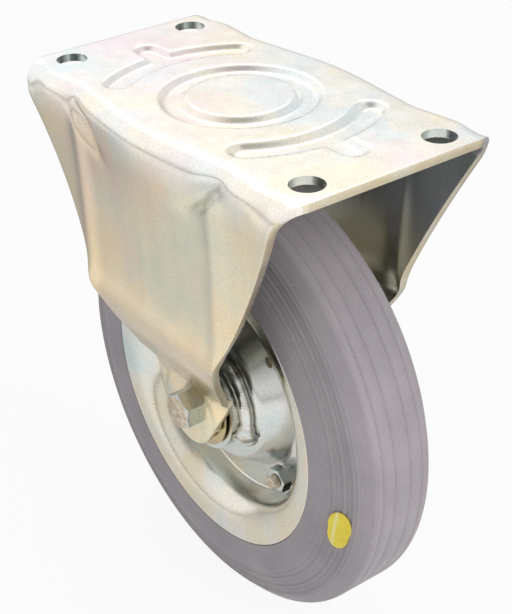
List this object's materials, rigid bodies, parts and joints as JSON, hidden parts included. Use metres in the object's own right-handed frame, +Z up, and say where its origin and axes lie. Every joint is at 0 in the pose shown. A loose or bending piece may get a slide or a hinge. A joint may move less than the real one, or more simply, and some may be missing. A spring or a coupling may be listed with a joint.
{
  "type": "fixed castor",
  "caption": "Fixed castor: deep drawn steel bracket with a bolt-on plate, and a solid rubber wheel on a bolted two-part steel rim with ball bearings.",
  "frame": {"origin": "centre of the plate's top face", "axes": "+Z up, +X along the rolling direction and the plate's long side, +Y along the axle; the bolt head is on -Y"},
  "size_m": [0.25, 0.1284, 0.291],
  "materials": {
    "zinc_plated_sheet": "zinc plated, satin",
    "zinc_plated_steel": "zinc plated",
    "rim_steel": "zinc plated, satin",
    "weld_steel": "weld bead, zinc plated over",
    "cover_yellow_zinc": "yellow passivated",
    "bearing_steel": "ground",
    "cage_brass": "pressed",
    "seal_rubber": "matt",
    "lock_ring": "matt",
    "grey_rubber": "matt, non-marking"
  },
  "bodies": {
    "bracket": {"fork_bracket": "zinc_plated_sheet", "axle_bolt": "zinc_plated_steel", "axle_washer": "zinc_plated_steel", "axle_nut": "zinc_plated_steel", "nut_lock_ring": "lock_ring", "axle_sleeve": "zinc_plated_steel", "distance_tube": "zinc_plated_steel", "inner_ring_near": "bearing_steel", "spacer_ring_near": "zinc_plated_steel", "dust_cover_near": "cover_yellow_zinc", "end_collar_near": "zinc_plated_steel", "inner_ring_far": "bearing_steel", "spacer_ring_far": "zinc_plated_steel", "dust_cover_far": "cover_yellow_zinc", "end_collar_far": "zinc_plated_steel"},
    "wheel": {"hub_tube": "zinc_plated_steel", "hub_weld": "weld_steel", "rim_near": "rim_steel", "rim_far": "rim_steel", "rim_bolts": "zinc_plated_steel", "rim_washers": "zinc_plated_steel", "rim_nuts": "zinc_plated_steel", "tyre": "grey_rubber", "outer_ring_near": "bearing_steel", "outer_ring_far": "bearing_steel", "seals_near": "seal_rubber", "seals_far": "seal_rubber"},
    "ball_cages": {"ball_cage_near": "cage_brass", "ball_cage_far": "cage_brass", "balls_near": "bearing_steel", "balls_far": "bearing_steel"}
  },
  "joints": [
    {"name": "wheel_spin", "type": "hinge", "parent": "bracket", "child": "wheel", "pos_m": [0, 0, -0.166], "axis": [0, 1, 0], "continuous": true},
    {"name": "cage_spin", "type": "hinge", "parent": "bracket", "child": "ball_cages", "pos_m": [0, 0, -0.166], "axis": [0, 1, 0], "continuous": true}
  ],
  "couplings": [
    {"joint": "cage_spin", "follows": "wheel_spin", "ratio": 0.61851}
  ]
}
